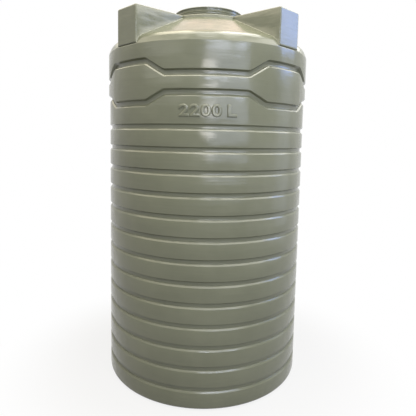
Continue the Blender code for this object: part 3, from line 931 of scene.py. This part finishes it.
for name, body, radius, outward, low in (
        ("neck_thread", "tank", NECK_RADIUS, 1, THREAD_LOW),
        ("lid_thread", "lid", LID_BORE, -1, THREAD_LOW + NECK_PITCH / 2)):
    dress(thread_ridge(name, radius, outward, low), body, "polyethylene")
print("thread pitch in mm:", NECK_PITCH * 1000)

# %% [markdown]
# ## Lid seal
# A flat rubber ring lies on the neck's rim inside the lid. It is spun and not cut from a disc, because
# a spun outline can have the slight radius that pressing gives its edges.

# %% Lid seal
SEAL_INNER = 0.1900
SEAL_OUTER = 0.1981
SEAL_LOW = NECK_TOP_Z + 0.0003
SEAL_HIGH = NECK_TOP_Z + 0.0043

lid_seal = spun("lid_gasket", [
    (SEAL_INNER, SEAL_LOW), (SEAL_OUTER, SEAL_LOW, 0.001, 2), (SEAL_OUTER, SEAL_HIGH, 0.001, 2),
    (SEAL_INNER + 0.0001, SEAL_HIGH, 0.001, 2), (SEAL_INNER, SEAL_LOW + 0.0022)], 128)
dress(lid_seal, "lid_ring", "rubber", "lid_seal")
print("seal on the neck's rim at", round(NECK_TOP_Z, 4))

# %% [markdown]
# ## Tank connectors
# Each connector is a flanged tube pushed out through the wall, with a rubber washer on both sides of
# the wall and a back nut inside. The low one ends in a socket that a plug closes, and the high one in
# a short beaded pipe for the overflow. Cylinders could be put together for them, but a spun outline
# has every radius in one closed piece, and both share the outline of tail and flange.

# %% Connectors
FLANGE_BACK = PORT_FACE + 0.0036
FLANGE_FRONT = FLANGE_BACK + 0.008
FLANGE_RADIUS = 0.045
TAIL_END = FLANGE_BACK - 0.052
TAIL_RADIUS = 0.0297
TAIL_BORE = 0.022
SOCKET_RADIUS = 0.032
SOCKET_BORE = 0.0245
SOCKET_END = FLANGE_FRONT + 0.015
SOCKET_FLOOR = SOCKET_END - 0.017
PIPE_RADIUS = 0.027
PIPE_BEAD = PIPE_RADIUS + 0.0015
PIPE_END = FLANGE_FRONT + 0.048

flange_outline = [(TAIL_BORE, (TAIL_END + FLANGE_BACK) / 2), (TAIL_BORE, TAIL_END + 0.002, 0.001, 2),
                  (TAIL_BORE + 0.001, TAIL_END, 0.001, 2), (TAIL_RADIUS, TAIL_END, 0.0015, 2),
                  (TAIL_RADIUS, FLANGE_BACK, 0.0005, 2), (FLANGE_RADIUS, FLANGE_BACK, 0.001, 2),
                  (FLANGE_RADIUS, FLANGE_FRONT, 0.0025, 4)]
socket_outline = [(SOCKET_RADIUS, FLANGE_FRONT, 0.002, 3), (SOCKET_RADIUS, SOCKET_END, 0.0015, 3),
                  (SOCKET_BORE, SOCKET_END, 0.001, 2), (SOCKET_BORE, SOCKET_FLOOR, 0.0005, 2),
                  (TAIL_BORE, SOCKET_FLOOR, 0.0005, 2)]
pipe_outline = [(PIPE_RADIUS, FLANGE_FRONT, 0.002, 3), (PIPE_RADIUS, PIPE_END - 0.006, 0.001, 2),
                (PIPE_BEAD, PIPE_END - 0.0045, 0.001, 2), (PIPE_BEAD, PIPE_END - 0.0015, 0.001, 2),
                (PIPE_RADIUS - 0.0005, PIPE_END, 0.001, 3), (TAIL_BORE, PIPE_END, 0.001, 2)]
for name, outline, height in (("outlet", socket_outline, OUTLET_Z),
                              ("overflow", pipe_outline, OVERFLOW_Z)):
    outline = flange_outline + outline + [(TAIL_BORE, FLANGE_BACK)]
    tube = spun(name + "_flanged_tube", outline, PORT_STEPS)
    dress(to_rear(tube, height), "tank", "polypropylene", name + "_body")
print("overflow end at", round(PIPE_END, 4))

# %% [markdown]
# ## Washers and back nuts
# The rubber washers bulge a little under the clamping, and each back nut is an octagon with a chamfer
# turned on its corners. Moving points could give the chamfers, but the real way is simpler: the nut is
# turned first, as a round piece with chamfers, and then cut to its flats.

# %% Washers and back nuts
WASHER_OUTER = 0.042
WASHER_INNER = 0.0306
WASHER_THICK = 0.003
WASHER_GAP = 0.0003
NUT_HIGH = PORT_FACE - WALL - 0.0036
NUT_LOW = NUT_HIGH - 0.014
NUT_FLATS = 0.080
NUT_BORE = 0.0302
NUT_CORNERS = 0.0433
NUT_FACE = 0.0410
NUT_SEAT = 0.0420
CUTTER_DEPTH = 0.06   # more than any piece that is cut
CUT_SHARP_ABOVE = 30.0


def washer(name, low, height):
    """A flat rubber ring with slightly pillowed edges."""
    high = low + WASHER_THICK
    ring = [(WASHER_INNER, low + WASHER_THICK / 2), (WASHER_INNER, low, 0.0006, 2),
            (WASHER_OUTER, low, 0.0012, 3), (WASHER_OUTER, high, 0.0012, 3),
            (WASHER_INNER, high, 0.0006, 2), (WASHER_INNER, low + 0.002)]
    return to_rear(spun(name, ring, PORT_STEPS), height)


def cut_to_flats(item, sides, across, middle):
    """Cut a spun piece to flats, across which it measures a given size."""
    bm = bmesh.new()
    place_by = Matrix.Translation((0, 0, middle)) @ Matrix.Rotation(math.pi / sides, 4, "Z")
    add_prism(bm, sides, across / 2 / math.cos(math.pi / sides), CUTTER_DEPTH, place_by)
    combine(item, link_mesh("flats", bm), "INTERSECT")
    smooth(item.data, CUT_SHARP_ABOVE)
    return item


def back_nut(name, height):
    """An eight sided nut with turned chamfers on its corners and a plain bore."""
    turned = spun(name, [(NUT_BORE, NUT_LOW + 0.007), (NUT_BORE, NUT_LOW, 0.0006, 2),
                         (NUT_FACE, NUT_LOW, 0.0006, 2), (NUT_CORNERS, NUT_LOW + 0.003, 0.0006, 2),
                         (NUT_CORNERS, NUT_HIGH - 0.001, 0.0006, 2), (NUT_SEAT, NUT_HIGH, 0.0006, 2),
                         (NUT_BORE, NUT_HIGH, 0.0006, 2), (NUT_BORE, NUT_LOW + 0.008)], 128)
    return to_rear(cut_to_flats(turned, 8, NUT_FLATS, (NUT_LOW + NUT_HIGH) / 2), height)


for name, height in (("outlet", OUTLET_Z), ("overflow", OVERFLOW_Z)):
    dress(washer(name + "_outside_gasket", PORT_FACE + WASHER_GAP, height),
          "tank", "rubber", name + "_outer_washer")
    dress(washer(name + "_inside_gasket", PORT_FACE - WALL - WASHER_THICK - WASHER_GAP, height),
          "tank", "rubber", name + "_inner_washer")
    dress(back_nut(name + "_octagon_nut", height), "tank", "polypropylene", name + "_back_nut")
print("back nuts", NUT_FLATS * 1000, "mm across flats")

# %% [markdown]
# ## Outlet plug
# The plug has a hexagon head on a round flange and a short stem, and a thin rubber ring seals it on
# the end of the socket. The head is turned and cut to flats as the nuts are, and then joined to the
# spun flange.

# %% Plug and its seal
PLUG_STEPS = 96
PLUG_SEAL_INNER = 0.0245
PLUG_SEAL_OUTER = 0.031
PLUG_SEAL_LOW = SOCKET_END + 0.0003
PLUG_SEAL_HIGH = PLUG_SEAL_LOW + 0.002
PLUG_HEAD_LOW = PLUG_SEAL_LOW + 0.0023
PLUG_HEAD_HIGH = PLUG_HEAD_LOW + 0.004
PLUG_HEAD_RADIUS = 0.032
PLUG_TOP = PLUG_HEAD_HIGH + 0.012
PLUG_STEM = 0.0237
PLUG_STEM_END = PLUG_HEAD_LOW - 0.014
HEX_FLATS = 0.046
HEX_CORNERS = 0.0270
HEX_LOW = PLUG_HEAD_LOW + 0.002
HEX_TOP_EDGE = 0.0235
DISH_EDGE = 0.0170
DISH_RADIUS = 0.0160
DISH_Z = PLUG_TOP - 0.002

plug_seal = spun("plug_gasket", [
    (PLUG_SEAL_INNER, PLUG_SEAL_LOW + 0.001), (PLUG_SEAL_INNER, PLUG_SEAL_LOW, 0.0005, 2),
    (PLUG_SEAL_OUTER, PLUG_SEAL_LOW, 0.0008, 3), (PLUG_SEAL_OUTER, PLUG_SEAL_HIGH, 0.0008, 3),
    (PLUG_SEAL_INNER, PLUG_SEAL_HIGH, 0.0005, 2), (PLUG_SEAL_INNER, PLUG_SEAL_LOW + 0.0015)], PORT_STEPS)
dress(to_rear(plug_seal, OUTLET_Z), "plug_ring", "rubber", "outlet_plug_seal")

hexagon = spun("hexagon", [
    (0.0, HEX_LOW), (HEX_CORNERS, HEX_LOW), (HEX_CORNERS, PLUG_TOP - 0.0035),
    (HEX_TOP_EDGE, PLUG_TOP, 0.0006, 2), (DISH_EDGE, PLUG_TOP, 0.0008, 2),
    (DISH_RADIUS, DISH_Z, 0.0008, 2), (0.0, DISH_Z)], PLUG_STEPS)
plug = spun("hexagon_plug", [
    (0.0, PLUG_STEM_END), (PLUG_STEM, PLUG_STEM_END, 0.0015, 3), (PLUG_STEM, PLUG_HEAD_LOW, 0.0005, 2),
    (PLUG_HEAD_RADIUS, PLUG_HEAD_LOW, 0.0008, 2), (PLUG_HEAD_RADIUS, PLUG_HEAD_HIGH, 0.0012, 3),
    (0.0, PLUG_HEAD_HIGH)], PLUG_STEPS)
combine(plug, cut_to_flats(hexagon, 6, HEX_FLATS, PLUG_TOP), "UNION")
smooth(plug.data, CUT_SHARP_ABOVE)
dress(to_rear(plug, OUTLET_Z), "plug", "polypropylene", "outlet_plug")
print("plug reaches", round(PLUG_TOP, 4), "from the axis")

# %% [markdown]
# ## Capacity mark
# The front carries a raised capacity mark, formed by letters engraved in the mould. Here it is a
# plain number with its unit in Blender's own letters, made heavier, with sloping sides, and bent round
# the wall. It is only sunk into the wall, because joining the two would break up the wall's clean rows.

# %% Capacity mark
MARK_TEXT = "2200 L"
MARK_HEIGHT = 0.057
CAPITAL_SHARE = 0.7   # a capital's height over the size of the letters
MARK_RISE = 0.0065
MARK_SLOPE = 0.0055
MARK_LENGTH = 0.300
MARK_AZIMUTH = math.radians(0.8)
MARK_Z = 1.605
MARK_SHARP_ABOVE = 40.0

letters = bpy.data.curves.new("capacity_letters", type="FONT")
letters.body = MARK_TEXT
letters.align_x = "CENTER"
letters.align_y = "CENTER"
letters.size = MARK_HEIGHT / CAPITAL_SHARE
letters.space_character = 1.1
letters.space_word = 0.55
letters.offset = -0.0012
letters.extrude = 0.0008
letters.bevel_depth = MARK_SLOPE
letters.bevel_resolution = 2
letters.resolution_u = 6
mark_source = add_object("capacity_letters", letters)
mark_mesh = evaluated_mesh(mark_source)
bpy.data.objects.remove(mark_source, do_unlink=True)
mark_mesh.materials.clear()
across = [corner.co.x for corner in mark_mesh.vertices]
stretch = MARK_LENGTH / (max(across) - min(across))
depth = max(corner.co.z for corner in mark_mesh.vertices)
for corner in mark_mesh.vertices:
    azimuth = MARK_AZIMUTH + corner.co.x * stretch / BODY_RADIUS
    radius = BODY_RADIUS + MARK_RISE + corner.co.z - depth
    corner.co = at_azimuth(azimuth, radius, MARK_Z + corner.co.y)
smooth(mark_mesh, MARK_SHARP_ABOVE)
dress(add_object("capacity_mark", mark_mesh), "tank", "polyethylene")
print("mark stretched by", round(stretch, 2), "with", len(mark_mesh.polygons), "faces")

# %% [markdown]
# ## Studio
# The picture has a white surround. A pale floor runs into a white world, and the floor keeps the
# tank's shadow. Rays from the camera, from a reflection or through glass see both near white, while
# the light that they throw on the tank stays low, so that the grooves keep their shade. A curved
# backdrop could do the same, but would show its edges in the views from behind and above.

# %% Floor and world
FLOOR_SIZE = 60.0
FLOOR_DROP = 0.0005   # keeps the floor from flickering through the tank's base
FLOOR_WHITE = 0.82
FADE_START = 0.7
FADE_END = 1.4
WORLD_LIGHT = 0.08
WHITE = (1.0, 1.0, 1.0, 1.0)


def sees_white(tree):
    """1 for rays from the camera, a reflection or glass, and 0 for those that carry light."""
    rays = add_node(tree, "LightPath").outputs
    seen = rays["Is Camera Ray"]
    for kind in ("Is Glossy Ray", "Is Transmission Ray"):
        seen = add_node(tree, "Math", {"operation": "MAXIMUM"}, {0: seen, 1: rays[kind]}).outputs[0]
    return seen


floor_material, tree, place, output = new_material("studio_floor")
paper = add_node(tree, "BsdfDiffuse", {"Color": linear("#989896")})
distance = add_node(tree, "VectorMath", {"operation": "LENGTH"}, {0: place})
fade = add_node(tree, "MapRange", {"interpolation_type": "SMOOTHSTEP", "From Min": FADE_START,
                                   "From Max": FADE_END, "To Min": FLOOR_WHITE, "To Max": 1.0},
                {"Value": distance.outputs["Value"]})
glow = add_node(tree, "Emission", {"Color": WHITE, "Strength": 1.0})
share = add_node(tree, "Math", {"operation": "MULTIPLY"},
                 {0: sees_white(tree), 1: fade.outputs["Result"]})
blend = add_node(tree, "MixShader", links={
    0: share.outputs[0], 1: paper.outputs["BSDF"], 2: glow.outputs["Emission"]})
tree.links.new(blend.outputs["Shader"], output.inputs["Surface"])

bm = bmesh.new()
bmesh.ops.create_grid(bm, x_segments=1, y_segments=1, size=FLOOR_SIZE / 2,
                      matrix=Matrix.Translation((0.0, 0.0, -FLOOR_DROP)))
floor = link_mesh("studio_floor", bm)
floor.data.materials.append(floor_material)

world = bpy.data.worlds.new("studio")
bpy.context.scene.world = world
world.use_nodes = True
tree = world.node_tree
tree.nodes.clear()
output = add_node(tree, "OutputWorld")
level = add_node(tree, "MapRange", {"To Min": WORLD_LIGHT, "To Max": 1.0}, {"Value": sees_white(tree)})
air = add_node(tree, "Background", {"Color": WHITE}, {"Strength": level.outputs["Result"]})
tree.links.new(air.outputs["Background"], output.inputs["Surface"])
print("world light", WORLD_LIGHT)

# %% [markdown]
# ## Lamps
# Two rings of nine soft lamps stand round the tank, one high and one at middle height. The brows of
# the bands lean back just enough to reflect them, which draws an even bright line along every band,
# where one large lamp would give a broad patch. The shoulder's slope looks into the gap between the
# rings, so it stays calm. Soft windows in front, right of the camera, put the long reflection on the
# head and the belt, and a cool one far to the right lights the right lug's face. The strengths are set
# so that a colour on the tank renders about as it is written.

# %% Lamps
def soft_lamp(name, spot, aim, width, height, radiance, colour):
    """A rectangular soft lamp at a place, turned to a point, with a brightness per area."""
    data = bpy.data.lights.new(name, type="AREA")
    data.shape = "RECTANGLE"
    data.size = width
    data.size_y = height
    data.energy = radiance * math.pi * width * height
    data.color = linear(colour)[:3]
    lamp = add_object(name, data)
    lamp.visible_camera = False
    away = Vector(aim) - Vector(spot)
    lamp.matrix_world = Matrix.Translation(spot) @ away.to_track_quat("-Z", "Y").to_matrix().to_4x4()


RINGS = (  # name, distance from the axis, height, height aimed at, width, length
    ("high", 2.1, 6.6, 1.5, 1.45, 2.6),
    ("middle", 3.6, 4.3, 1.2, 2.4, 1.8))
RING_AIM = 0.6        # the lamps are turned to points at this distance from the axis
RING_LAMPS = (  # degrees from the front, radiance of the high and of the middle lamp, colour
    (-160, 1.2, 0.55, "#ffc8a8"),
    (-120, 6.4, 2.2, "#fff4da"),
    (-80, 7.8, 2.5, "#fff4da"),
    (-40, 7.6, 2.8, "#fff8e8"),
    (0, 7.2, 3.2, "#fffcf6"),
    (40, 9.0, 4.0, "#fffcf6"),
    (80, 9.4, 4.4, "#fffcf6"),
    (120, 8.6, 3.8, "#fffcf6"),
    (160, 1.2, 0.55, "#ffc8a8"))
for degrees, high, middle, colour in RING_LAMPS:
    azimuth = math.radians(degrees)
    for (name, distance, height, aim, width, length), radiance in zip(RINGS, (high, middle)):
        soft_lamp("%s_%d" % (name, degrees), at_azimuth(azimuth, distance, height),
                  at_azimuth(azimuth, RING_AIM, aim), width, length, radiance, colour)

SINGLE = (  # name, place, aim, width, height, radiance, colour
    ("overhead", (0.0, 0.2, 6.6), (0.0, 0.0, 2.0), 3.0, 0.8, 1.5, "#ffe8d4"),
    ("rear", (0.15, 3.5, 5.2), (0.0, -0.4, 2.05), 1.5, 0.8, 0.4, "#ffb890"),
    ("rear_fill", (0.0, 4.5, 2.0), (0.0, 0.0, 1.2), 2.0, 2.6, 1.1, "#ffffff"),
    ("fill", (0.3, -5.5, 0.6), (0.0, 0.0, 0.8), 8.0, 1.0, 0.15, "#ffffff"),
    ("fill_right", (4.08, -1.9, 0.7), (0.0, 0.0, 0.8), 3.0, 1.4, 0.5, "#ffffff"),
    ("window_far_left", (-2.55, -2.55, 2.6), (0.0, -0.3, 2.0), 3.0, 0.5, 1.2, "#ffffff"),
    ("window_high_left", (0.65, -3.56, 2.68), (0.0, -0.3, 2.0), 1.55, 0.34, 16.5, "#e4ebff"),
    ("window_high_right", (1.93, -2.98, 2.68), (0.0, -0.3, 2.0), 0.79, 0.34, 16.5, "#d8e2ff"),
    ("window_low", (1.22, -3.17, 1.75), (0.0, -0.3, 1.65), 2.6, 1.1, 3.1, "#dce5ff"),
    ("window_left", (0.15, -3.6, 1.84), (0.0, -0.3, 1.8), 0.75, 0.44, 10.5, "#fffaf4"),
    ("right_window", (4.1, 0.2, 3.35), (0.44, -0.44, 2.05), 1.5, 1.3, 6.2, "#8aaeff"),
    ("right_soft", (4.1, -1.1, 3.65), (-0.4, -0.4, 2.05), 0.6, 0.5, 2.6, "#e0e0ff"),
    ("right_panel", (4.0, 0.1, 1.7), (0.4, -0.4, 1.3), 1.4, 3.0, 0.9, "#e4ebff"))
for lamp in SINGLE:
    soft_lamp(*lamp)

# %% [markdown]
# ## View settings
# The Standard view shows a colour as it is written, without a film's curve over it.

# %% View settings
bpy.context.scene.view_settings.view_transform = "Standard"
